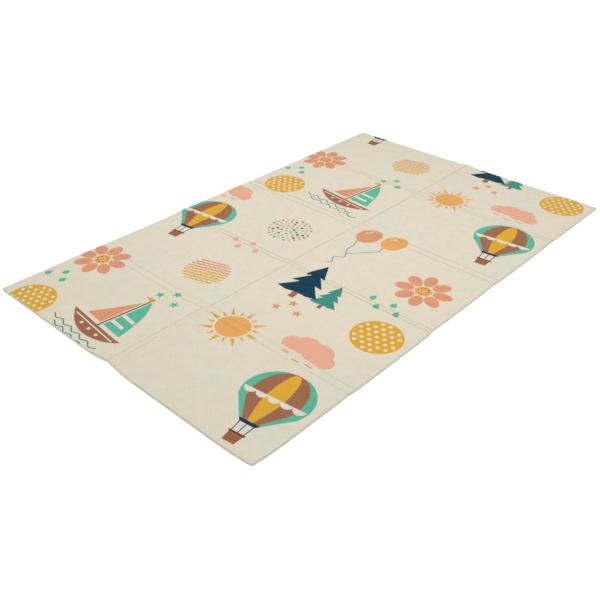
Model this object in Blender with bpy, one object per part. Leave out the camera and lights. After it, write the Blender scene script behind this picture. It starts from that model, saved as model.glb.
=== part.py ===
"""A folding foam play mat, lying open on the floor.

The mat is one sheet of closed-cell foam with rounded rims. Hot-pressed creases divide it into
five panels along its length and two across its width: a single crease runs down the middle, and
four double creases cross it. Each double crease is a pair of grooves with a strip of full
thickness between them, wide or narrow in turn, so that the mat folds back and forth. A mat that
has just been unfolded keeps low ridges along its creases, a slightly raised corner and panels
that have slid sideways by a hair, while the middle of every panel lies flat on the floor.

Axes: X runs along the length, Y across the width, Z up. The origin is on the floor under the
middle of the mat. All sizes are in metres.
"""

import math
from collections import namedtuple

import bmesh
import bpy

# The sheet
LENGTH = 2.0
WIDTH = 1.2
THICKNESS = 0.010
CORNER_RADIUS = 0.008
CORNER_STEPS = 4
RIM_ROUND = 0.0025
RIM_STEPS = 2

# The panels
PANELS_ALONG = 5
PANEL_LENGTH = LENGTH / PANELS_ALONG

# The pressed grooves, above and below, with a thin web of foam left between them
GROOVE_WIDTH = 0.008
UPPER_PRESS = 0.0022
LOWER_PRESS = 0.0040

# Where a groove runs out at the rim, the rim is drawn in a little
RIM_NOTCH = 0.0012
NOTCH_REACH = 0.020

# The double creases that cross the mat, counted from its -X end. strip is the distance between
# the two grooves, front_lift and back_lift are how high the crease stands off the floor at the -Y
# and the +Y rim, and reach is how far from a groove the sheet comes down to the floor again.
CrossCrease = namedtuple("CrossCrease", "number strip front_lift back_lift reach")
CROSS_CREASES = [
    CrossCrease(number=1, strip=0.030, front_lift=0.0010, back_lift=0.0005, reach=0.090),
    CrossCrease(number=2, strip=0.018, front_lift=0.0020, back_lift=0.0025, reach=0.110),
    CrossCrease(number=3, strip=0.030, front_lift=0.0025, back_lift=0.0005, reach=0.090),
    CrossCrease(number=4, strip=0.018, front_lift=0.0030, back_lift=0.0010, reach=0.130),
]

# The crease along the middle, whose ridge has a height of its own in each pair of panels
MIDDLE_LIFTS = (0.0170, 0.0075, 0.0070, 0.0035, 0.0070)
MIDDLE_REACH = 0.105
MIDDLE_SHARPNESS = 1.7
LIFT_BLEND = 0.140

# How far each pair of panels has slid along Y
PANEL_SLIPS = (0.0, -0.002, 0.002, 0.0, 0.0)
SLIP_BLEND = 0.024

# The raised corner, at the -X and -Y end
CORNER_LIFT = 0.0100
CORNER_REACH = 0.140

# Places of the loop cuts, as shares of a groove's half width and of a ridge's reach
GROOVE_CUTS = (-1.0, -0.5, 0.0, 0.5, 1.0)
CROSS_RIDGE_CUTS = (0.28, 0.6, 1.0)
MIDDLE_RIDGE_CUTS = (0.15, 0.36, 0.64, 1.0)
CORNER_CUTS = (0.25, 0.55, 1.0)
CUT_TOLERANCE = 1e-6

# The look of the bare foam
FOAM_COLOUR = (0.74, 0.69, 0.57, 1.0)
FOAM_ROUGHNESS = 0.6
SMOOTH_ANGLE = math.radians(40)


def crease_place(crease):
    """Where a double crease's middle lies along X."""
    return PANEL_LENGTH * crease.number - LENGTH / 2


def groove_places(crease):
    """Where the two grooves of a double crease lie along X, each with its side of the crease."""
    return [(crease_place(crease) + side * crease.strip / 2, side) for side in (-1, 1)]


def clamped(share):
    """A share kept between 0 and 1."""
    return min(max(share, 0.0), 1.0)


def along_panels(values, x, blend):
    """The value that the panels have at x, which changes smoothly across each double crease."""
    value = values[0]
    for crease, before, after in zip(CROSS_CREASES, values, values[1:]):
        share = clamped((x - crease_place(crease)) / blend + 0.5)
        value += (after - before) * share**2 * (3 - 2 * share)
    return value


def pressed(distance):
    """How deep a groove is at this distance from its middle, as a share of its full depth."""
    share = clamped(abs(distance) / (GROOVE_WIDTH / 2))
    return (1 + math.cos(math.pi * share)) / 2


def ridge(distance, lift, reach, sharpness=2.0):
    """Height of a ridge that is sharp at its crease and meets the floor smoothly at its reach."""
    return lift * max(0.0, 1 - distance / reach) ** sharpness


def lift_at(x, y):
    """How high the sheet stands off the floor. It is exactly zero in the middle of each panel."""
    middle_lift = along_panels(MIDDLE_LIFTS, x, LIFT_BLEND)
    heights = [ridge(abs(y), middle_lift, MIDDLE_REACH, MIDDLE_SHARPNESS)]
    back_share = clamped(y / WIDTH + 0.5)
    for crease in CROSS_CREASES:
        lift = crease.front_lift + back_share * (crease.back_lift - crease.front_lift)
        beside_strip = max(0.0, abs(x - crease_place(crease)) - crease.strip / 2)
        heights.append(ridge(beside_strip, lift, crease.reach))
    from_corner = math.hypot(x + LENGTH / 2, y + WIDTH / 2)
    heights.append(ridge(from_corner, CORNER_LIFT, CORNER_REACH))
    return math.hypot(*heights)


def drawn_in(place, half, depth):
    """Moves a place near the rim inward, by the full depth at the rim itself."""
    share = clamped((abs(place) - half) / NOTCH_REACH + 1)
    return place - math.copysign(depth * share, place)


def is_upright(edge):
    """Whether an edge of the slab runs up one of its corners."""
    return abs(edge.verts[0].co.z - edge.verts[1].co.z) > THICKNESS / 2


def round_edges(slab, edges, radius, steps):
    """Rounds these edges of the slab."""
    bmesh.ops.bevel(
        slab,
        geom=edges,
        offset=radius,
        segments=steps,
        profile=0.5,
        affect="EDGES",
    )


def rounded_slab():
    """The sheet before it is creased: a flat slab with rounded corners and rims."""
    slab = bmesh.new()
    bmesh.ops.create_cube(slab, size=1.0)
    bmesh.ops.scale(slab, vec=(LENGTH, WIDTH, THICKNESS), verts=slab.verts)
    bmesh.ops.translate(slab, vec=(0, 0, THICKNESS / 2), verts=slab.verts)
    corners = [edge for edge in slab.edges if is_upright(edge)]
    round_edges(slab, corners, CORNER_RADIUS, CORNER_STEPS)
    rims = [edge for edge in slab.edges if not is_upright(edge)]
    round_edges(slab, rims, RIM_ROUND, RIM_STEPS)
    return slab


def cuts_along():
    """Places along X of the loop cuts that shape the cross creases and the raised corner."""
    places = [share * CORNER_REACH - LENGTH / 2 for share in CORNER_CUTS]
    for crease in CROSS_CREASES:
        for groove, side in groove_places(crease):
            places += [groove + share * GROOVE_WIDTH / 2 for share in GROOVE_CUTS]
            places += [groove + side * share * crease.reach for share in CROSS_RIDGE_CUTS]
    return places


def cuts_across():
    """Places along Y of the loop cuts that shape the middle crease and the raised corner."""
    places = [share * CORNER_REACH - WIDTH / 2 for share in CORNER_CUTS]
    places += [share * GROOVE_WIDTH / 2 for share in GROOVE_CUTS]
    for side in (-1, 1):
        places += [side * share * MIDDLE_REACH for share in MIDDLE_RIDGE_CUTS]
    return places


def loop_cut(slab, place, normal):
    """Cuts a loop round the whole slab, square to normal, at this distance along it."""
    bmesh.ops.bisect_plane(
        slab,
        geom=slab.verts[:] + slab.edges[:] + slab.faces[:],
        dist=CUT_TOLERANCE,
        plane_co=[place * part for part in normal],
        plane_no=normal,
    )


def crease_sheet(slab):
    """Gives the slab its grooves and ridges, notches its rim and slides its panels sideways."""
    grooves = [groove for crease in CROSS_CREASES for groove, side in groove_places(crease)]
    for vert in slab.verts:
        x, y, z = vert.co
        cross = max(pressed(x - groove) for groove in grooves)
        middle = pressed(y)
        depth = max(cross, middle)
        lower = lift_at(x, y) + depth * LOWER_PRESS
        upper = lift_at(x, y) + THICKNESS - depth * UPPER_PRESS
        vert.co.x = drawn_in(x, LENGTH / 2, middle * RIM_NOTCH)
        slip = along_panels(PANEL_SLIPS, x, SLIP_BLEND)
        vert.co.y = drawn_in(y, WIDTH / 2, cross * RIM_NOTCH) + slip
        vert.co.z = lower + z / THICKNESS * (upper - lower)


def foam_material():
    """Matt cream film over foam, in its plain ground colour."""
    material = bpy.data.materials.new("foam")
    material.use_nodes = True
    shader = material.node_tree.nodes["Principled BSDF"]
    shader.inputs["Base Color"].default_value = FOAM_COLOUR
    shader.inputs["Roughness"].default_value = FOAM_ROUGHNESS
    shader.inputs["Metallic"].default_value = 0.0
    return material


def build_mat(collection):
    """Makes the mat's one object from the slab, its loop cuts and its creases."""
    slab = rounded_slab()
    for place in cuts_along():
        loop_cut(slab, place, (1, 0, 0))
    for place in cuts_across():
        loop_cut(slab, place, (0, 1, 0))
    crease_sheet(slab)
    mesh = bpy.data.meshes.new("mat")
    slab.to_mesh(mesh)
    slab.free()
    mesh.shade_smooth()
    mesh.set_sharp_from_angle(angle=SMOOTH_ANGLE)
    mesh.materials.append(foam_material())
    collection.objects.link(bpy.data.objects.new("mat", mesh))


def main():
    """Clears the scene and builds the mat in a collection of its own."""
    for obj in list(bpy.data.objects):
        bpy.data.objects.remove(obj)
    collection = bpy.data.collections.new("foam_play_mat")
    bpy.context.scene.collection.children.link(collection)
    build_mat(collection)


main()
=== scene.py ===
"""The looks of a folding foam play mat: its embossed foam sheet, pressed creases and print.

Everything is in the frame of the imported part: X runs along the length, Y across the width and Z
up from the floor. Sizes are in metres. The visual sheet has the part's outline and creases, with
a finer surface, and the printed shapes are thin films of ink that follow it through every crease.
"""

import math
from bisect import bisect_right
from collections import namedtuple

import bmesh
import bpy
from mathutils import Matrix, Vector, noise


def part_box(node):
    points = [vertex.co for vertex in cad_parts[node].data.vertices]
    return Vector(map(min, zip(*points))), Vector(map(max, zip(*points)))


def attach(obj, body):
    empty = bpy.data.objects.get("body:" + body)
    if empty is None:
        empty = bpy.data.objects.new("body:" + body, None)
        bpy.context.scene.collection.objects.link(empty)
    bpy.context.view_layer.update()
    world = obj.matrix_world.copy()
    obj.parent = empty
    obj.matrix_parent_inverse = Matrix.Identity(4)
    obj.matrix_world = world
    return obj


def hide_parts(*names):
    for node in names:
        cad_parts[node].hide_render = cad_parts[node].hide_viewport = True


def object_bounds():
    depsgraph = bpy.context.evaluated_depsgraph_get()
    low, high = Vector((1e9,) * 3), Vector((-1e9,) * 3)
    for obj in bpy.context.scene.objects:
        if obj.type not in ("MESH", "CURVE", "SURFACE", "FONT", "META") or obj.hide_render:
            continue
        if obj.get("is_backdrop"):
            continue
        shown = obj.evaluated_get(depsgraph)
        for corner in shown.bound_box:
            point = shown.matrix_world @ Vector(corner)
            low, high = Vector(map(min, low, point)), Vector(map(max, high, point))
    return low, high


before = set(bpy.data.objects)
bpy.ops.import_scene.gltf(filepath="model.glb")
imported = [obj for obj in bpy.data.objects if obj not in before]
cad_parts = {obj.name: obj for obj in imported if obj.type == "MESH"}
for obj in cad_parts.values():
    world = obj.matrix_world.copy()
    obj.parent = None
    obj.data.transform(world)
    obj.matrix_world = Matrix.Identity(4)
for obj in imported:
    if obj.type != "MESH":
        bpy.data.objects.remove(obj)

CAD_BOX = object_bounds()

# How far each pair of panels has slid along Y, as in the part
PANEL_SLIPS = (0.0, -0.002, 0.002, 0.0, 0.0)
SLIP_BLEND = 0.024

# The sheet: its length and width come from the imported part, the rest is as in the part
LOW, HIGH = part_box("mat")
LENGTH = HIGH.x - LOW.x
WIDTH = HIGH.y - LOW.y - (max(PANEL_SLIPS) - min(PANEL_SLIPS))
THICKNESS = 0.010
CORNER_RADIUS = 0.008
CORNER_STEPS = 6
RIM_ROUND = 0.0025
RIM_STEPS = 4
BARE_RIM = 0.0014

# The pressed grooves and the ridges that the creases keep, as in the part
PANELS_ALONG = 5
PANEL_LENGTH = LENGTH / PANELS_ALONG
GROOVE_WIDTH = 0.008
GROOVE_STEPS = 10
UPPER_PRESS = 0.0022
LOWER_PRESS = 0.0040
RIM_NOTCH = 0.0012
NOTCH_REACH = 0.020
CrossCrease = namedtuple("CrossCrease", "number strip front_lift back_lift reach")
CROSS_CREASES = [
    CrossCrease(number=1, strip=0.030, front_lift=0.0010, back_lift=0.0005, reach=0.090),
    CrossCrease(number=2, strip=0.018, front_lift=0.0020, back_lift=0.0025, reach=0.110),
    CrossCrease(number=3, strip=0.030, front_lift=0.0025, back_lift=0.0005, reach=0.090),
    CrossCrease(number=4, strip=0.018, front_lift=0.0030, back_lift=0.0010, reach=0.130),
]
MIDDLE_LIFTS = (0.0170, 0.0075, 0.0070, 0.0035, 0.0070)
MIDDLE_REACH = 0.105
MIDDLE_SHARPNESS = 1.7
LIFT_BLEND = 0.140
CORNER_LIFT = 0.0100
CORNER_REACH = 0.140

# How deep two of the upper grooves show, as shares of the pressed depth: the first double
# crease has opened out flat, and the middle crease is folded harder
FIRST_CREASE_SHARE = 0.5
MIDDLE_CREASE_SHARE = 1.3

# Finer unevenness of the upper face: wide swells, small dents, and puckers along the middle
# crease, which come and go in patches
SWELL_SIZE = 0.16
SWELL_HEIGHT = 0.0005
DENT_SIZE = 0.035
DENT_HEIGHT = 0.00025
PUCKER_PITCH = 0.0165
PUCKER_START = 0.0085
PUCKER_BEND = 0.35
PUCKER_HEIGHT = 0.00125
PUCKER_REACH = 0.100
PUCKER_BACK = 0.45
PATCH_SIZE = 0.07
PATCH_GAIN = 0.35

# The level at which each use reads the smooth noise, so that no two follow each other
SWELL_LEVEL = 0.3
DENT_LEVEL = 5.1
PATCH_LEVEL = 9.7
BEND_LEVEL = 2.2

# How far apart the sheet's points are at most, and what is let go as rounding
COARSE = 0.014
RIDGE_SPACING = 0.009
PUCKER_SPACING = 0.0035
ROUNDING = 1e-6
CUT_TOLERANCE = 1e-7

# The film of ink on the foam
INK_RAISE = 0.00012
INK_LAYER = 0.00006
INK_DEPTH = 0.00030
PRINT_MARGIN = 0.0012
SHARP_ANGLE = math.radians(50)

# The emboss of the film: pillows in a check, and a fine grain. It fades out towards the rim,
# from one distance in from it to a smaller one.
EMBOSS_SQUARE = 0.0092
EMBOSS_HEIGHT = 0.00045
GRAIN_SIZE = 0.0012
GRAIN_SHARE = 0.10
EMBOSS_END = 0.0026
EMBOSS_FADE = 0.0050

# Colours as they look in the photograph, in sRGB, and how bright the studio makes a white sheet
LIGHT_LEVEL = 1.42
FOAM = (225, 217, 195)
FOAM_COOL = (217, 217, 202)
FOAM_WARM = (230, 217, 195)
# The multiplier in the grooves: the pressed film's tan together with painted shade that darkens
# them
CREASE_TAN_AND_SHADE = (0.97, 0.945, 0.85)
MOTTLE_TINT = (0.957, 0.971, 0.960)
CORE = (215, 209, 188)
CORE_DARK = (201, 195, 171)
INKS = {
    "cream": (229, 222, 205),
    "coral": (224, 155, 118),
    "peach": (234, 176, 148),
    "apricot": (232, 172, 96),
    "mustard": (225, 172, 54),
    "mint": (92, 188, 156),
    "teal": (64, 146, 134),
    "navy": (10, 62, 84),
    "brown": (163, 108, 78),
    "cocoa": (108, 66, 46),
}

# Soft patches in the materials: their size, how fine their noise is, which part of it they take
# up, and how far they go at most
Patches = namedtuple("Patches", "size detail low high share")
MOTTLE = Patches(size=0.028, detail=3.0, low=0.3, high=0.7, share=1.0)
COOL = Patches(size=0.22, detail=3.0, low=0.48, high=0.68, share=0.55)
WARM = Patches(size=0.15, detail=3.0, low=0.55, high=0.75, share=0.5)
WEAR = Patches(size=0.012, detail=4.0, low=0.35, high=0.75, share=0.012)
ROUGHER = Patches(size=0.05, detail=4.0, low=0.3, high=0.7, share=0.09)

# The film's roughness where it is smoothest, and how much it mirrors
FOAM_ROUGHNESS = 0.54
FOAM_GLOSS = 0.25
INK_ROUGHNESS = 0.48
INK_GLOSS = 0.02
CREASE_SMOOTHING = 0.08
CREASE_FULL = 0.7
# How far the film's colour is darkened towards the cut core's colour at the rim, and the size of
# its patches
RIM_DARKENING = 0.16
RIM_PATCH_SIZE = 0.02

# The cells of the cut foam, and the blotches between which its shade moves
CELL_SIZE = 0.0011
CELL_DEPTH = 0.0001
CELL_RANGE = (0.15, 0.6)
CELL_WEIGHT = 0.35
BLOTCH_SIZE = 0.015
BLOTCH_RANGE = (0.2, 0.8)
CORE_SHADES = (0.1, 0.7)
CORE_ROUGHNESS = 0.9
CORE_GLOSS = 0.2

# The camera, solved from the photograph's perspective
CAMERA_PLACE = (-1.961, -1.5675, 1.416)
CAMERA_LOOK = (0.6005, 0.5781, -0.5524)
CAMERA_LENS = 45.9
CAMERA_SENSOR = 36.0
CAMERA_SHIFT = 0.06

# The floor, which glows a little so that shadows on it stay faint
FLOOR_SIZE = 60.0
FLOOR_COLOUR = (0.98, 0.98, 0.98, 1.0)
FLOOR_ROUGHNESS = 0.9
FLOOR_GLOSS = 0.1
FLOOR_GLOW = 0.45

# The lights: an even and slightly cool world, a soft warm lamp straight over the middle, and a
# faint broad sun from beyond the mat
WORLD_COLOUR = (0.941, 0.974, 1.0, 1.0)
WORLD_STRENGTH = 0.968
LAMP_PLACE = (0.09, -0.06, 1.90)
LAMP_SIZE = 1.5
LAMP_POWER = 18.4
LAMP_COLOUR = (1.0, 0.84, 0.80)
SUN_PLACE = (1.1, 1.4, 2.2)
SUN_STRENGTH = 0.5
SUN_SPREAD = math.radians(40)


def linear(colour):
    """The base colour that looks like this sRGB colour in the studio's light."""
    shares = [value / 255 for value in colour]
    light = [s / 12.92 if s <= 0.04045 else ((s + 0.055) / 1.055) ** 2.4 for s in shares]
    return (*(value / LIGHT_LEVEL for value in light), 1.0)


# Shape of the sheet


def crease_place(crease):
    """Where a double crease's middle lies along X."""
    return PANEL_LENGTH * crease.number - LENGTH / 2


def groove_places():
    """Where the grooves that cross the mat lie along X."""
    return [
        crease_place(crease) + side * crease.strip / 2
        for crease in CROSS_CREASES
        for side in (-1, 1)
    ]


CROSS_GROOVES = groove_places()


def clamped(share):
    """A share kept between 0 and 1."""
    return min(max(share, 0.0), 1.0)


def along_panels(values, x, blend):
    """The value that the panels have at x, which changes smoothly across each double crease."""
    value = values[0]
    for crease, before, after in zip(CROSS_CREASES, values, values[1:]):
        share = clamped((x - crease_place(crease)) / blend + 0.5)
        value += (after - before) * share**2 * (3 - 2 * share)
    return value


def slip(x):
    """How far the sheet has slid along Y at this place along its length."""
    return along_panels(PANEL_SLIPS, x, SLIP_BLEND)


def pressed(distance):
    """How deep a groove is at this distance from its middle, as a share of its full depth."""
    share = clamped(abs(distance) / (GROOVE_WIDTH / 2))
    return (1 + math.cos(math.pi * share)) / 2


def groove_share(x, y):
    """How deep the sheet is pressed by the nearest cross groove and by the middle groove."""
    return max(pressed(x - groove) for groove in CROSS_GROOVES), pressed(y)


def ridge(distance, lift, reach, sharpness=2.0):
    """Height of a ridge that is sharp at its crease and meets the floor smoothly at its reach."""
    return lift * max(0.0, 1 - distance / reach) ** sharpness


def rim_inset(x, y):
    """How far in from the plain outline a point of the sheet lies."""
    return min(LENGTH / 2 - abs(x), WIDTH / 2 - abs(y))


def lift_at(x, y):
    """How high the sheet stands off the floor. It is exactly zero in the middle of each panel."""
    middle_lift = along_panels(MIDDLE_LIFTS, x, LIFT_BLEND)
    heights = [ridge(abs(y), middle_lift, MIDDLE_REACH, MIDDLE_SHARPNESS)]
    back_share = clamped(y / WIDTH + 0.5)
    for crease in CROSS_CREASES:
        lift = crease.front_lift + back_share * (crease.back_lift - crease.front_lift)
        beside_strip = max(0.0, abs(x - crease_place(crease)) - crease.strip / 2)
        heights.append(ridge(beside_strip, lift, crease.reach))
    from_corner = math.hypot(x + LENGTH / 2, y + WIDTH / 2)
    heights.append(ridge(from_corner, CORNER_LIFT, CORNER_REACH))
    return math.hypot(*heights)


def uneven(x, y, size, level):
    """Smooth noise between -1 and 1, in bumps of this size."""
    return noise.noise(Vector((x, y, level)) / size)


def pucker(x, y):
    """Height of the puckers along the middle crease, mostly where it is folded hardest."""
    patch = clamped(uneven(x, y, PATCH_SIZE, PATCH_LEVEL) + PATCH_GAIN)
    fade = max(0.0, 1 - abs(y) / PUCKER_REACH) * (1.0 if y < 0 else PUCKER_BACK)
    folded = along_panels(MIDDLE_LIFTS, x, LIFT_BLEND) / max(MIDDLE_LIFTS)
    bend = PUCKER_BEND * uneven(x, y, PATCH_SIZE, BEND_LEVEL)
    wave = math.sin(math.tau * ((abs(y) - PUCKER_START) / PUCKER_PITCH + bend))
    return PUCKER_HEIGHT * wave * patch * fade * folded


def unevenness(x, y):
    """Swells, dents and puckers of the upper face, up or down from its plain form."""
    swell = SWELL_HEIGHT * uneven(x, y, SWELL_SIZE, SWELL_LEVEL)
    dent = DENT_HEIGHT * uneven(x, y, DENT_SIZE, DENT_LEVEL)
    return swell + dent + pucker(x, y)


def rim_drop(inset):
    """How far the rounded rim has dropped from the face, at this distance in from the outline."""
    if inset >= RIM_ROUND:
        return 0.0
    return RIM_ROUND - math.sqrt(RIM_ROUND**2 - (RIM_ROUND - inset) ** 2)


def filled(keys, spacing):
    """The keys in order, with evenly spaced places between them wherever a gap is too wide."""
    keys = sorted(keys)
    places = []
    for start, end in zip(keys, keys[1:]):
        steps = max(1, math.ceil((end - start) / spacing((start + end) / 2) - ROUNDING))
        places += [start + (end - start) * step / steps for step in range(steps)]
    return places + keys[-1:]


def rim_keys(half):
    """Places that shape the two rounded rims at either end of an axis."""
    turns = [math.pi / 2 * step / RIM_STEPS for step in range(RIM_STEPS + 1)]
    insets = [RIM_ROUND * (1 - math.sin(turn)) for turn in turns]
    return [side * (half - inset) for inset in insets for side in (-1, 1)]


def corner_keys(half):
    """Places that shape the round corners at either end of an axis."""
    turns = [math.pi / 4 * step / CORNER_STEPS for step in range(CORNER_STEPS)]
    insets = [CORNER_RADIUS * (1 - math.tan(turn)) for turn in turns]
    return [side * (half - inset) for inset in insets for side in (-1, 1)]


def groove_keys(groove):
    """Places that shape one groove's section."""
    shares = [2 * step / GROOVE_STEPS - 1 for step in range(GROOVE_STEPS + 1)]
    return [groove + share * GROOVE_WIDTH / 2 for share in shares]


def stations_along():
    """The places along X of the sheet's points."""
    keys = rim_keys(LENGTH / 2) + corner_keys(LENGTH / 2)
    for crease in CROSS_CREASES:
        for side in (-1, 1):
            groove = crease_place(crease) + side * crease.strip / 2
            keys += groove_keys(groove) + [groove + side * crease.reach]

    def spacing(x):
        near = min(abs(x - crease_place(crease)) - crease.reach for crease in CROSS_CREASES)
        return RIDGE_SPACING if near < 0 else COARSE

    return filled(keys, spacing)


def stations_across():
    """The places along Y of the sheet's points."""
    keys = rim_keys(WIDTH / 2) + corner_keys(WIDTH / 2) + groove_keys(0.0)
    keys += [side * reach for reach in (PUCKER_REACH, MIDDLE_REACH) for side in (-1, 1)]

    def spacing(y):
        if abs(y) < PUCKER_REACH:
            return PUCKER_SPACING
        return RIDGE_SPACING if abs(y) < MIDDLE_REACH else COARSE

    return filled(keys, spacing)


ALONG = stations_along()
ACROSS = stations_across()


def upper_height(x, y):
    """Height of the upper face."""
    cross, middle = groove_share(x, y)
    if x < crease_place(CROSS_CREASES[0]) + PANEL_LENGTH / 2:
        cross *= FIRST_CREASE_SHARE
    depth = max(cross, middle * MIDDLE_CREASE_SHARE) * UPPER_PRESS
    rim = rim_drop(max(rim_inset(x, y), 0.0))
    return lift_at(x, y) + THICKNESS + unevenness(x, y) - depth - rim


def lower_height(x, y):
    """Height of the underside."""
    depth = max(groove_share(x, y)) * LOWER_PRESS
    return lift_at(x, y) + depth + rim_drop(max(rim_inset(x, y), 0.0))


UPPER = [[upper_height(x, y) for y in ACROSS] for x in ALONG]
LOWER = [[lower_height(x, y) for y in ACROSS] for x in ALONG]


def cell_of(place, stations):
    """The station before a place, and the place's share of the way to the next station."""
    index = min(max(bisect_right(stations, place) - 1, 0), len(stations) - 2)
    return index, (place - stations[index]) / (stations[index + 1] - stations[index])


def upper_face(x, y):
    """Height of the sheet's upper face as it is meshed, straight between its stations."""
    i, along = cell_of(x, ALONG)
    j, across = cell_of(y, ACROSS)
    before = UPPER[i][j] * (1 - across) + UPPER[i][j + 1] * across
    after = UPPER[i + 1][j] * (1 - across) + UPPER[i + 1][j + 1] * across
    return before * (1 - along) + after * along


def drawn_in(place, half, depth):
    """Moves a place near the rim inward, by the full depth at the rim itself."""
    share = clamped((abs(place) - half) / NOTCH_REACH + 1)
    return place - math.copysign(depth * share, place)


def rounded_corner(x, y):
    """Moves a point of a square corner so that the corner is round."""
    over_x = abs(x) - (LENGTH / 2 - CORNER_RADIUS)
    over_y = abs(y) - (WIDTH / 2 - CORNER_RADIUS)
    if min(over_x, over_y) <= 0:
        return x, y
    shrink = max(over_x, over_y) / math.hypot(over_x, over_y)
    corner_x = LENGTH / 2 - CORNER_RADIUS + over_x * shrink
    corner_y = WIDTH / 2 - CORNER_RADIUS + over_y * shrink
    return math.copysign(corner_x, x), math.copysign(corner_y, y)


def outlined(x, y):
    """Moves a point of the plain grid to its place: round corners, notched rim and slid panels."""
    cross, middle = groove_share(x, y)
    round_x, round_y = rounded_corner(x, y)
    place_x = drawn_in(round_x, LENGTH / 2, middle * RIM_NOTCH)
    place_y = drawn_in(round_y, WIDTH / 2, cross * RIM_NOTCH) + slip(x)
    return place_x, place_y


def is_bare(i, j):
    """Whether a cell of the grid lies round the rim, where the film has been cut away."""
    x = (ALONG[i] + ALONG[i + 1]) / 2
    y = (ACROSS[j] + ACROSS[j + 1]) / 2
    return rim_inset(x, y) < BARE_RIM


def sheet_mesh():
    """The whole sheet as one closed mesh: two faces that meet at the cut side."""
    columns = len(ACROSS)
    rows = len(ALONG)
    points = []
    for heights in (UPPER, LOWER):
        for i, x in enumerate(ALONG):
            points += [(*outlined(x, y), heights[i][j]) for j, y in enumerate(ACROSS)]
    below = rows * columns
    quads = []
    bare = []
    for i in range(rows - 1):
        for j in range(columns - 1):
            a = i * columns + j
            quads.append((a, a + columns, a + columns + 1, a + 1))
            quads.append((below + a, below + a + 1, below + a + columns + 1, below + a + columns))
            bare += [is_bare(i, j)] * 2
    border = [i * columns for i in range(rows)]
    border += [(rows - 1) * columns + j for j in range(1, columns)]
    border += [i * columns + columns - 1 for i in range(rows - 2, -1, -1)]
    border += range(columns - 2, 0, -1)
    for a, b in zip(border, border[1:] + border[:1]):
        quads.append((a, below + a, below + b, b))
    mesh = bpy.data.meshes.new("foam_sheet")
    mesh.from_pydata(points, [], quads)
    bare += [True] * len(border)
    mesh.polygons.foreach_set("material_index", bare)
    return mesh


def mark_places(mesh):
    """Stores, for the materials, how near each point is to a groove and to the rim."""
    crease = mesh.attributes.new("crease", "FLOAT", "POINT")
    rim = mesh.attributes.new("rim", "FLOAT", "POINT")
    for index, vert in enumerate(mesh.vertices):
        x = vert.co.x
        y = vert.co.y - slip(x)
        crease.data[index].value = max(groove_share(x, y))
        rim.data[index].value = clamped(1 - rim_inset(x, y) / NOTCH_REACH)


# Outlines of the printed shapes, in the picture's own plane: X to the right and Y up


def around(centre, reach, turn):
    """The point at this distance and angle from a centre."""
    return centre[0] + reach * math.cos(turn), centre[1] + reach * math.sin(turn)


def arc(centre, radius, start, end, steps=24):
    """Points along an arc, from one angle to another in degrees."""
    turns = [math.radians(start + (end - start) * step / steps) for step in range(steps + 1)]
    return [around(centre, radius, turn) for turn in turns]


def disc(centre, radius, steps=40):
    """A round outline."""
    return arc(centre, radius, 0, 360, steps)[:-1]


def oval(centre, half_width, half_height, turn=0.0, steps=36):
    """An oval outline, turned by so many degrees."""
    cosine = math.cos(math.radians(turn))
    sine = math.sin(math.radians(turn))
    points = []
    for x, y in disc((0, 0), 1.0, steps):
        x, y = x * half_width, y * half_height
        points.append((centre[0] + x * cosine - y * sine, centre[1] + x * sine + y * cosine))
    return points


def star(centre, outer, inner, tips=5):
    """A star's outline with one tip up."""
    points = []
    for step in range(2 * tips):
        turn = math.pi / 2 + math.pi * step / tips
        points.append(around(centre, outer if step % 2 == 0 else inner, turn))
    return points


def leaf(base, tip, width, steps=10):
    """A pointed leaf from its base to its tip."""
    along = Vector(tip) - Vector(base)
    across = Vector((-along.y, along.x)).normalized() * width / 2
    shares = [step / steps for step in range(steps + 1)]
    left = [Vector(base) + along * s + across * math.sin(math.pi * s) for s in shares]
    right = [Vector(base) + along * s - across * math.sin(math.pi * s) for s in shares]
    return [tuple(p) for p in right + left[-2:0:-1]]


def drop(centre, size):
    """A rain drop with its point up."""
    radius = size * 0.36
    low = (centre[0], centre[1] - size / 2 + radius)
    return arc(low, radius, 150, 390, 18) + [(centre[0], centre[1] + size / 2)]


def curve_point(before, start, end, after, share):
    """A point between start and end, on the smooth curve through all four points."""
    slope = end - before
    bend = 2 * before - 5 * start + 4 * end - after
    twist = 3 * start - before - 3 * end + after
    return 0.5 * (2 * start + slope * share + bend * share**2 + twist * share**3)


def smooth_line(points, steps=8):
    """A smooth curve through the points, from the first to the last."""
    ends = [Vector(point) for point in (points[0], *points, points[-1])]
    line = []
    for stretch in zip(ends, ends[1:], ends[2:], ends[3:]):
        line += [curve_point(*stretch, step / steps) for step in range(steps)]
    return line + ends[-1:]


def ribbon(points, width, steps=8):
    """A line of even width along a smooth curve through the points."""
    line = smooth_line(points, steps)
    left = []
    right = []
    for index, point in enumerate(line):
        along = line[min(index + 1, len(line) - 1)] - line[max(index - 1, 0)]
        across = Vector((-along.y, along.x)).normalized() * width / 2
        left.append(tuple(point + across))
        right.append(tuple(point - across))
    return right + left[::-1]


def merged_discs(discs, base, steps=120):
    """The outline round several discs (x, y, radius) that share a middle, cut flat at the base."""
    points = []
    for step in range(steps):
        turn = math.tau * step / steps
        way = Vector((math.cos(turn), math.sin(turn)))
        reach = 0.0
        for x, y, radius in discs:
            beside = way.x * y - way.y * x
            if abs(beside) < radius:
                reach = max(reach, way.x * x + way.y * y + math.sqrt(radius**2 - beside**2))
        if way.y < 0:
            reach = min(reach, base / way.y)
        points.append(tuple(way * reach))
    return points


def band(half_width, low, high, left, right, steps=14):
    """The part of a symmetric shape between two heights and two shares of its half width."""
    levels = [low + (high - low) * step / steps for step in range(steps + 1)]
    rising = [(right * half_width(level), level) for level in levels]
    falling = [(left * half_width(level), level) for level in reversed(levels)]
    return rising + falling


# The motifs. Each is a list of shapes: an ink, a layer counted from the foam up, and an outline.

Shape = namedtuple("Shape", "ink layer outline")


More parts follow.
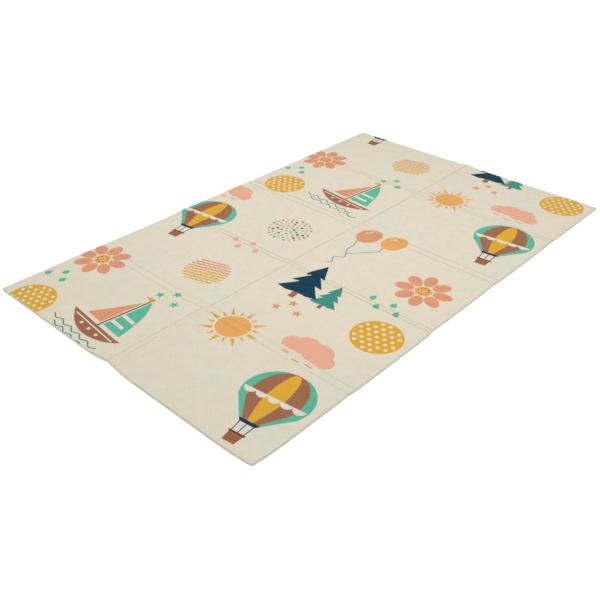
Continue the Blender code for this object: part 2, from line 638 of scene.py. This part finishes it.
def air_balloon(side, stripe, middle):
    """A hot-air balloon with striped cloth, ropes and a basket."""
    radius = 0.112
    top = 0.062
    neck = -0.078
    neck_half = 0.026
    shoulder = top - 0.45 * radius
    shoulder_half = math.sqrt(radius**2 - (shoulder - top) ** 2)

    def half_width(level):
        if level > shoulder:
            return math.sqrt(max(radius**2 - (level - top) ** 2, 0.0))
        share = (level - neck) / (shoulder - neck)
        return neck_half + (shoulder_half - neck_half) * share

    edges = [-1.0, -0.74, -0.27, 0.27, 0.74, 1.0]
    inks = [side, stripe, middle, stripe, side]
    shapes = []
    for left, right, ink in zip(edges, edges[1:], inks):
        shapes.append(Shape(ink, 0, band(half_width, neck, top + radius, left, right, 40)))
    shapes.append(Shape("navy", 1, band(half_width, neck, neck + 0.013, -1, 1)))
    for x in (-0.084, -0.042, 0.0, 0.042, 0.084):
        drape = arc((x, top - 0.010), 0.0215, 180, 360, 16)
        shapes.append(Shape("cream", 1, drape))
    for foot, head in ((-0.020, -0.024), (0.0, 0.0), (0.020, 0.024)):
        shapes.append(Shape("navy", 0, ribbon([(foot, -0.122), (head, neck)], 0.003, 2)))
    basket = [(-0.024, -0.120), (-0.020, -0.160), (0.020, -0.160), (0.024, -0.120)]
    shapes.append(Shape("brown", 1, basket))
    hoops = ((0.027, -0.121, 0.007), (0.022, -0.136, 0.002), (0.021, -0.147, 0.002))
    for half, level, width in hoops:
        shapes.append(Shape("cocoa", 2, ribbon([(-half, level), (half, level)], width, 2)))
    return shapes


def sail_boat(hull, sail, jib):
    """A boat with two sails on two waves."""
    deck = -0.062
    shares = [step / 16 for step in range(17)]
    keel = [(0.138 - 0.276 * s, deck - 0.058 * math.sin(math.pi * s) ** 0.85) for s in shares]
    shapes = [Shape(hull, 1, keel)]
    shapes.append(Shape("cream", 2, ribbon([(-0.108, -0.076), (0.112, -0.076)], 0.005, 2)))
    for x in (-0.045, 0.0, 0.045):
        shapes.append(Shape("cream", 2, disc((x, -0.093), 0.0065, 18)))
    shapes.append(Shape("cocoa", 0, ribbon([(0.0, deck), (0.0, 0.155)], 0.006, 2)))
    leech = [tuple(p) for p in smooth_line([(0.009, 0.142), (0.062, 0.070), (0.104, -0.046)])]
    shapes.append(Shape(sail, 0, [(0.009, -0.046), *leech[::-1]]))
    luff = [tuple(p) for p in smooth_line([(-0.009, 0.118), (-0.040, 0.050), (-0.086, -0.046)])]
    shapes.append(Shape(jib, 0, [*luff, (-0.009, -0.046)]))
    shapes.append(Shape("mustard", 1, [(0.0, 0.160), (0.0, 0.136), (-0.036, 0.149)]))
    for low, high in ((-0.020, -0.006), (0.022, 0.036)):
        shapes.append(Shape("cream", 1, [(0.009, low), (0.074, low), (0.070, high), (0.009, high)]))
    for left, level in ((-0.150, -0.136), (-0.112, -0.158)):
        crests = [(left + 0.026 * k, level + 0.006 * (-1) ** k) for k in range(11)]
        shapes.append(Shape("teal", 0, ribbon(crests, 0.0045, 5)))
    return shapes


def sun(middle, rays):
    """A sun with long and short rays."""
    centre = (0, 0)
    foot = 0.066
    ray_count = 16
    shapes = [Shape(middle, 0, disc(centre, 0.058, 56))]
    for k in range(ray_count):
        turn = math.tau * k / ray_count
        reach, spread = (0.108, 0.12) if k % 2 == 0 else (0.090, 0.09)
        sides = [around(centre, foot, turn + side * spread) for side in (-1, 1)]
        ray = [sides[0], around(centre, reach, turn), sides[1]]
        shapes.append(Shape(rays, 0, ray))
    return shapes


def flower(petals, middle, dots):
    """A flower of eight round petals, with dots round its middle."""
    centre = (0, 0)
    petal_count = 8
    turns = [math.tau * k / petal_count for k in range(petal_count)]
    shapes = []
    for turn in turns:
        petal = oval(around(centre, 0.068, turn), 0.034, 0.023, math.degrees(turn))
        shapes.append(Shape(petals, 0, petal))
    shapes.append(Shape(middle, 0, disc(centre, 0.030, 36)))
    for turn in turns:
        shapes.append(Shape(dots, 1, disc(around(centre, 0.019, turn), 0.003, 12)))
    return shapes


def dotted_ball(ball, dots):
    """A ball with rows of dots."""
    radius = 0.086
    shapes = [Shape(ball, 0, disc((0, 0), radius, 72))]
    pitch = 0.027
    for row in range(-3, 4):
        for column in range(-3, 4):
            x = pitch * (column + 0.5 * (row % 2))
            y = pitch * 0.87 * row
            if math.hypot(x, y) < radius - 0.011:
                shapes.append(Shape(dots, 1, disc((x, y), 0.0068, 18)))
    return shapes


def striped_ball(first, second):
    """A ball of wavy stripes with the foam showing between them."""
    radius = 0.084
    pitch = 0.0160
    shapes = []
    for row in range(-4, 5):
        level = pitch * row
        half = math.sqrt(radius**2 - level**2)
        steps = round(half / 0.0055)
        line = [
            (-half + 2 * half * k / steps, level + 0.0022 * (-1) ** k)
            for k in range(steps + 1)
        ]
        shapes.append(Shape(first if row > 0 else second, 0, ribbon(line, 0.0078, 4)))
    return shapes


def confetti_ball(inks):
    """A round of small dots in several colours."""
    pitch = 0.0165
    shapes = []
    for ring in range(1, 6):
        count = 5 * ring
        for k in range(count):
            turn = math.tau * (k + 0.5 * (ring % 2)) / count
            size = 0.0058 if (k + ring) % 3 else 0.0038
            dot = disc(around((0, 0), pitch * ring, turn), size, 16)
            shapes.append(Shape(inks[(k + 2 * ring) % len(inks)], 0, dot))
    return shapes


def cloud(ink, dashes):
    """A cloud with a flat base and three short dashes under it."""
    puffs = [
        (-0.062, -0.006, 0.036),
        (-0.022, 0.014, 0.044),
        (0.030, 0.010, 0.050),
        (0.072, -0.008, 0.032),
    ]
    shapes = [Shape(ink, 0, merged_discs(puffs, -0.036))]
    for left, level in ((-0.060, -0.054), (-0.005, -0.064), (0.038, -0.054)):
        shapes.append(Shape(dashes, 0, ribbon([(left, level), (left + 0.028, level)], 0.006, 2)))
    return shapes


def fir_trees(first, second, trunk):
    """A tall and a small fir tree, side by side."""
    right = [(0.0, 0.240), (0.040, 0.152), (0.019, 0.156), (0.062, 0.096), (0.031, 0.101)]
    right += [(0.080, 0.038), (0.040, 0.030)]
    outline = right + [(0.0, 0.037)] + [(-x, y) for x, y in right[:0:-1]]
    shapes = []
    for middle, size, needles, layer in ((-0.030, 1.0, first, 2), (0.082, 0.64, second, 1)):
        foot = -0.115
        stem = ribbon([(middle, foot), (middle, foot + 0.060 * size)], 0.022 * size, 2)
        shapes.append(Shape(trunk, 0, stem))
        tree = [(middle + size * x, foot + size * y) for x, y in outline]
        shapes.append(Shape(needles, layer, tree))
    return shapes


def party_balloons(first, second):
    """Two toy balloons whose waving strings meet."""
    shapes = []
    for x, y, ink in ((-0.048, 0.062, first), (0.050, 0.098, second)):
        knot = y - 0.058
        shapes.append(Shape(ink, 1, oval((x, y), 0.044, 0.056)))
        tie = [(x - 0.008, knot - 0.007), (x + 0.008, knot - 0.007), (x, knot + 0.005)]
        shapes.append(Shape(ink, 1, tie))
        shapes.append(Shape("cream", 2, leaf((x - 0.026, y), (x - 0.012, y + 0.038), 0.008)))
        line = [(x, knot - 0.006), (0.9 * x + 0.010, knot - 0.035)]
        line += [(0.35 * x - 0.006, -0.070), (0.0, -0.100)]
        shapes.append(Shape("teal", 0, ribbon(line, 0.003)))
    tail = [(0.0, -0.096), (0.012, -0.118), (-0.012, -0.146), (0.010, -0.172), (-0.004, -0.196)]
    shapes.append(Shape("teal", 0, ribbon(tail, 0.003)))
    return shapes


def scattered(ink, make, places):
    """Several small shapes of one kind and colour."""
    return [Shape(ink, 0, make(place)) for place in places]


def small_drops(ink):
    """Four rain drops."""
    places = ((-0.048, 0.012), (-0.012, -0.024), (0.030, 0.020), (0.064, -0.018))
    return scattered(ink, lambda place: drop(place, 0.032), places)


def small_stars(ink):
    """Three little stars."""
    places = ((-0.036, -0.012), (0.006, 0.028), (0.044, -0.020))
    return scattered(ink, lambda place: star(place, 0.019, 0.0085), places)


# The print: one repeat of it, which is laid side by side over the mat in half-drop rows

REPEAT_ALONG = 1.25
REPEAT_ACROSS = 0.96
REPEAT_START = (-1.04, -0.62)
REPEAT_ROWS = range(-1, 3)
REPEAT_COLUMNS = range(-2, 3)
PLACE_MARGIN = 0.2

Place = namedtuple("Place", "name shapes along across turn")


def repeat_places():
    """What one repeat of the print holds, and where."""
    confetti = ("mint", "mustard", "navy", "coral", "teal", "apricot")
    return [
        Place("air_balloon", air_balloon("mint", "brown", "mustard"), 0.22, 0.15, 7),
        Place("cloud", cloud("peach", "coral"), 0.50, 0.235, -4),
        Place("dotted_ball", dotted_ball("mustard", "cream"), 0.70, 0.13, 10),
        Place("flower", flower("coral", "apricot", "cocoa"), 1.02, 0.17, 12),
        Place("sun", sun("apricot", "mustard"), 0.43, 0.49, 0),
        Place("fir_trees", fir_trees("navy", "teal", "brown"), 0.80, 0.46, 6),
        Place("party_balloons", party_balloons("coral", "apricot"), 1.13, 0.50, -10),
        Place("sail_boat", sail_boat("brown", "mint", "coral"), 0.20, 0.80, -6),
        Place("striped_ball", striped_ball("coral", "mustard"), 0.60, 0.80, 18),
        Place("confetti_ball", confetti_ball(confetti), 1.03, 0.79, 0),
        Place("mint_drops", small_drops("mint"), 0.86, 0.22, 0),
        Place("coral_stars", small_stars("coral"), 0.63, 0.44, 15),
        Place("mint_stars", small_stars("mint"), 0.40, 0.76, 0),
        Place("peach_drops", small_drops("peach"), 0.83, 0.84, 8),
    ]


def laid_out(outline, place, middle):
    """A motif's outline at its place on the mat: the picture's up is the mat's +X."""
    turn = Matrix.Rotation(math.radians(place.turn - 90), 2)
    return [Vector(middle) + turn @ Vector(point) for point in outline]


def signed_area(points):
    """Twice the outline's area, positive where it runs anticlockwise."""
    return sum(a.x * b.y - b.x * a.y for a, b in zip(points, points[1:] + points[:1]))


def cut(flat, place, normal, clear_outer=False, clear_inner=False):
    """Cuts the flat film along a line square to normal, and may drop what lies past it."""
    bmesh.ops.bisect_plane(
        flat,
        geom=flat.verts[:] + flat.edges[:] + flat.faces[:],
        dist=CUT_TOLERANCE,
        plane_co=[place * part for part in normal],
        plane_no=normal,
        clear_outer=clear_outer,
        clear_inner=clear_inner,
    )


def flat_motif(place, middle, ink_names):
    """A motif's shapes as flat faces at their places, one above the other by their layers."""
    flat = bmesh.new()
    for shape in place.shapes:
        points = laid_out(shape.outline, place, middle)
        if signed_area(points) < 0:
            points.reverse()
        height = INK_RAISE + INK_LAYER * shape.layer
        face = flat.faces.new([flat.verts.new((*point, height)) for point in points])
        face.material_index = ink_names.index(shape.ink)
    flat.normal_update()
    bmesh.ops.triangulate(flat, faces=flat.faces[:], ngon_method="EAR_CLIP")
    return flat


def cut_to_mat(flat):
    """Drops what lies past the rim or too near it."""
    for half, normal in ((LENGTH / 2, (1, 0, 0)), (WIDTH / 2, (0, 1, 0))):
        cut(flat, half - PRINT_MARGIN, normal, clear_outer=True)
        cut(flat, PRINT_MARGIN - half, normal, clear_inner=True)


def cut_at_stations(flat):
    """Cuts the film along the sheet's stations, so that it can bend with the sheet."""
    for axis, stations, normal in ((0, ALONG, (1, 0, 0)), (1, ACROSS, (0, 1, 0))):
        low = min(vert.co[axis] for vert in flat.verts)
        high = max(vert.co[axis] for vert in flat.verts)
        for station in stations:
            if low < station < high:
                cut(flat, station, normal)


def laid_film(name, flat):
    """The flat film as a thin solid that lies on the sheet, with its foot a little sunk in."""
    flat.verts.index_update()
    below = len(flat.verts)
    tops = [(x, y + slip(x), z + upper_face(x, y)) for x, y, z in (vert.co for vert in flat.verts)]
    feet = [(x, y, z - INK_DEPTH) for x, y, z in tops]
    faces = []
    inks = []
    for face in flat.faces:
        corners = [vert.index for vert in face.verts]
        faces += [corners, [below + corner for corner in reversed(corners)]]
        inks += [face.material_index] * 2
        for loop in face.loops:
            if loop.edge.is_boundary:
                a = loop.vert.index
                b = loop.link_loop_next.vert.index
                faces.append((a, below + a, below + b, b))
                inks.append(face.material_index)
    mesh = bpy.data.meshes.new(name)
    mesh.from_pydata(tops + feet, [], faces)
    mesh.polygons.foreach_set("material_index", inks)
    return mesh


def film_mesh(name, place, middle, ink_names):
    """A motif's ink as a film on the sheet, or None where all of it falls past the rim."""
    flat = flat_motif(place, middle, ink_names)
    cut_to_mat(flat)
    if not flat.faces:
        flat.free()
        return None
    cut_at_stations(flat)
    mesh = laid_film(name, flat)
    flat.free()
    return mesh


# Materials


class Graph:
    """A material's node tree, with short calls for the nodes that the materials need."""

    def __init__(self, name):
        self.material = bpy.data.materials.new(name)
        self.material.use_nodes = True
        self.tree = self.material.node_tree
        self.shader = self.tree.nodes["Principled BSDF"]
        self.place = self.node("ShaderNodeTexCoord").outputs["Object"]

    def node(self, kind, **settings):
        """Adds a node and sets its own settings."""
        made = self.tree.nodes.new(kind)
        for key, value in settings.items():
            setattr(made, key, value)
        return made

    def feed(self, socket, value):
        """Links an output to a socket, or sets the socket to a plain value."""
        if isinstance(value, bpy.types.NodeSocket):
            self.tree.links.new(value, socket)
        else:
            socket.default_value = value

    def maths(self, operation, *values):
        """The result of a maths node on one or two values."""
        made = self.node("ShaderNodeMath", operation=operation)
        for socket, value in zip(made.inputs, values):
            self.feed(socket, value)
        return made.outputs[0]

    def cloudy(self, size, detail=2.0):
        """Soft noise from 0 to 1 whose blotches are about this size."""
        made = self.node("ShaderNodeTexNoise")
        self.feed(made.inputs["Vector"], self.place)
        made.inputs["Scale"].default_value = 1 / size
        made.inputs["Detail"].default_value = detail
        return made.outputs["Fac"]

    def ranged(self, value, low, high, new_low=0.0, new_high=1.0):
        """A value moved from one range to another, and kept inside it."""
        made = self.node("ShaderNodeMapRange", interpolation_type="SMOOTHSTEP")
        for socket, given in zip(made.inputs, (value, low, high, new_low, new_high)):
            self.feed(socket, given)
        return made.outputs["Result"]

    def mixed(self, share, first, second, blend="MIX"):
        """Two colours mixed by share."""
        made = self.node("ShaderNodeMix", data_type="RGBA", blend_type=blend)
        self.feed(made.inputs["Factor"], share)
        self.feed(made.inputs["A"], first)
        self.feed(made.inputs["B"], second)
        return made.outputs["Result"]

    def patches(self, kind):
        """How strong one of the kinds of soft patches is, from 0 to its share."""
        soft = self.cloudy(kind.size, kind.detail)
        return self.ranged(soft, kind.low, kind.high, 0.0, kind.share)

    def marked(self, name):
        """One of the marks that are stored with the mesh's points."""
        return self.node("ShaderNodeAttribute", attribute_name=name).outputs["Fac"]

    def bumped(self, height, distance):
        """Gives the shader a bump of this height."""
        made = self.node("ShaderNodeBump")
        made.inputs["Distance"].default_value = distance
        self.feed(made.inputs["Height"], height)
        self.feed(self.shader.inputs["Normal"], made.outputs["Normal"])


def emboss(graph):
    """The height of the film's emboss: round pillows in a check, with a fine grain on them."""
    split = graph.node("ShaderNodeSeparateXYZ")
    graph.feed(split.inputs["Vector"], graph.place)
    waves = []
    for axis in ("X", "Y"):
        turns = graph.maths("MULTIPLY", split.outputs[axis], math.pi / EMBOSS_SQUARE)
        waves.append(graph.maths("SINE", turns))
    pillows = graph.maths("MULTIPLY", *waves)
    grain = graph.maths("MULTIPLY", graph.cloudy(GRAIN_SIZE, detail=3.0), GRAIN_SHARE)
    start, end = (1 - inset / NOTCH_REACH for inset in (EMBOSS_FADE, EMBOSS_END))
    kept = graph.ranged(graph.marked("rim"), start, end, 1.0, 0.0)
    return graph.maths("MULTIPLY", graph.maths("ADD", pillows, grain), kept)


def finish_film(graph, colour, roughness, gloss):
    """What foam and ink share: a mottle, tan and painted shade in the grooves, a patchy darker rim,
    a sheen and the emboss.
    """
    mottled = graph.mixed(graph.patches(MOTTLE), colour, (*MOTTLE_TINT, 1.0), "MULTIPLY")
    # The grooves take the pressed film's tan and painted shade
    crease = graph.ranged(graph.marked("crease"), 0.0, CREASE_FULL)
    tan_and_shaded = graph.mixed(crease, mottled, (*CREASE_TAN_AND_SHADE, 1.0), "MULTIPLY")
    # Near the rim the colour is darkened towards the core's colour, in patches
    rim_patchy = graph.maths("MULTIPLY", graph.marked("rim"), graph.cloudy(RIM_PATCH_SIZE))
    rim_share = graph.maths("MULTIPLY", rim_patchy, RIM_DARKENING)
    graph.feed(graph.shader.inputs["Base Color"], graph.mixed(rim_share, tan_and_shaded, linear(CORE)))
    rough = graph.maths("ADD", graph.patches(ROUGHER), roughness)
    smoothing = graph.maths("MULTIPLY", crease, CREASE_SMOOTHING)
    graph.feed(graph.shader.inputs["Roughness"], graph.maths("SUBTRACT", rough, smoothing))
    graph.shader.inputs["Specular IOR Level"].default_value = gloss
    graph.bumped(emboss(graph), EMBOSS_HEIGHT)
    return graph.material


def foam_film():
    """The cream ground of the film, with a faint cloudy tint."""
    graph = Graph("foam_film")
    ground = graph.mixed(graph.patches(COOL), linear(FOAM), linear(FOAM_COOL))
    ground = graph.mixed(graph.patches(WARM), ground, linear(FOAM_WARM))
    return finish_film(graph, ground, FOAM_ROUGHNESS, FOAM_GLOSS)


def ink_film(name, colour):
    """Printed ink, a little uneven."""
    graph = Graph("ink_" + name)
    inked = graph.mixed(graph.patches(WEAR), linear(colour), linear(FOAM))
    return finish_film(graph, inked, INK_ROUGHNESS, INK_GLOSS)


def cut_foam():
    """The cut side of the foam, which shows its fine cells."""
    graph = Graph("cut_foam")
    cells = graph.node("ShaderNodeTexVoronoi", feature="F1")
    graph.feed(cells.inputs["Vector"], graph.place)
    cells.inputs["Scale"].default_value = 1 / CELL_SIZE
    pores = graph.ranged(cells.outputs["Distance"], *CELL_RANGE)
    fine = graph.maths("MULTIPLY", pores, CELL_WEIGHT)
    wide = graph.maths("MULTIPLY", graph.cloudy(BLOTCH_SIZE, detail=3.0), 1 - CELL_WEIGHT)
    shade = graph.ranged(graph.maths("ADD", fine, wide), *BLOTCH_RANGE, *CORE_SHADES)
    colour = graph.mixed(shade, linear(CORE), linear(CORE_DARK))
    graph.feed(graph.shader.inputs["Base Color"], colour)
    graph.shader.inputs["Roughness"].default_value = CORE_ROUGHNESS
    graph.shader.inputs["Specular IOR Level"].default_value = CORE_GLOSS
    graph.bumped(pores, CELL_DEPTH)
    return graph.material


# The pieces


def show(name, mesh):
    """Puts a mesh in the scene, shaded smooth, on the mat's body."""
    mesh.shade_smooth()
    mesh.set_sharp_from_angle(angle=SHARP_ANGLE)
    piece = bpy.data.objects.new(name, mesh)
    bpy.context.scene.collection.objects.link(piece)
    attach(piece, "root")
    return piece


def make_sheet():
    """The foam sheet, which stands for the part's one node."""
    mesh = sheet_mesh()
    mark_places(mesh)
    mesh.materials.append(foam_film())
    mesh.materials.append(cut_foam())
    piece = show("foam_sheet", mesh)
    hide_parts("mat")
    return piece


def laid_places():
    """Every motif whose middle falls on the mat or near it, with its number and its middle."""
    places = repeat_places()
    for row_number, row in enumerate(REPEAT_ROWS, 1):
        for column_number, column in enumerate(REPEAT_COLUMNS, 1):
            for place in places:
                x = REPEAT_START[0] + REPEAT_ALONG * (column + 0.5 * (row % 2)) + place.along
                y = REPEAT_START[1] + REPEAT_ACROSS * row + place.across
                if abs(x) <= LENGTH / 2 + PLACE_MARGIN and abs(y) <= WIDTH / 2 + PLACE_MARGIN:
                    yield f"{column_number}{row_number}", place, (x, y)


def make_print():
    """Every printed motif that falls on the mat."""
    inks = {name: ink_film(name, colour) for name, colour in INKS.items()}
    pieces = []
    for number, place, middle in laid_places():
        names = sorted({shape.ink for shape in place.shapes})
        name = f"print_{place.name}_{number}"
        mesh = film_mesh(name, place, middle, names)
        if mesh is None:
            continue
        for ink in names:
            mesh.materials.append(inks[ink])
        mark_places(mesh)
        pieces.append(show(name, mesh))
    return pieces


# The studio


def make_floor():
    """A plain pale floor."""
    mesh = bpy.data.meshes.new("floor")
    half = FLOOR_SIZE / 2
    corners = [(-half, -half, 0), (half, -half, 0), (half, half, 0), (-half, half, 0)]
    mesh.from_pydata(corners, [], [(0, 1, 2, 3)])
    material = bpy.data.materials.new("floor")
    material.use_nodes = True
    shader = material.node_tree.nodes["Principled BSDF"]
    shader.inputs["Base Color"].default_value = FLOOR_COLOUR
    shader.inputs["Roughness"].default_value = FLOOR_ROUGHNESS
    shader.inputs["Specular IOR Level"].default_value = FLOOR_GLOSS
    shader.inputs["Emission Color"].default_value = (1.0, 1.0, 1.0, 1.0)
    shader.inputs["Emission Strength"].default_value = FLOOR_GLOW
    mesh.materials.append(material)
    floor = bpy.data.objects.new("floor", mesh)
    bpy.context.scene.collection.objects.link(floor)
    floor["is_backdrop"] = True
    return floor


def aimed(obj, place, target):
    """Puts a lamp or camera at a place, looking at a target."""
    obj.location = place
    obj.rotation_euler = (Vector(target) - Vector(place)).to_track_quat("-Z", "Y").to_euler()
    bpy.context.scene.collection.objects.link(obj)
    return obj


def make_lights():
    """The world, the soft lamp over the middle and the faint sun."""
    world = bpy.data.worlds.new("studio")
    world.use_nodes = True
    background = world.node_tree.nodes["Background"]
    background.inputs["Color"].default_value = WORLD_COLOUR
    background.inputs["Strength"].default_value = WORLD_STRENGTH
    bpy.context.scene.world = world
    softbox = bpy.data.lights.new("softbox", "AREA")
    softbox.shape = "SQUARE"
    softbox.size = LAMP_SIZE
    softbox.energy = LAMP_POWER
    softbox.color = LAMP_COLOUR
    aimed(bpy.data.objects.new("softbox", softbox), LAMP_PLACE, (*LAMP_PLACE[:2], 0.0))
    key = bpy.data.lights.new("key", "SUN")
    key.energy = SUN_STRENGTH
    key.angle = SUN_SPREAD
    aimed(bpy.data.objects.new("key", key), SUN_PLACE, (0.0, 0.0, 0.0))


def make_camera():
    """The photograph's view: a level camera, slightly shifted."""
    lens = bpy.data.cameras.new("camera")
    lens.sensor_width = CAMERA_SENSOR
    lens.lens = CAMERA_LENS
    lens.shift_x = CAMERA_SHIFT
    lens.clip_end = 2 * FLOOR_SIZE
    target = Vector(CAMERA_PLACE) + Vector(CAMERA_LOOK)
    bpy.context.scene.camera = aimed(bpy.data.objects.new("camera", lens), CAMERA_PLACE, target)


floor = make_floor()
foam_sheet = make_sheet()
ink_pieces = make_print()
make_lights()
make_camera()
bpy.context.scene.view_settings.view_transform = "Standard"

boxes = {"cad": CAD_BOX, "visual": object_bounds()}
{name: [list(corner) for corner in box] for name, box in boxes.items()}
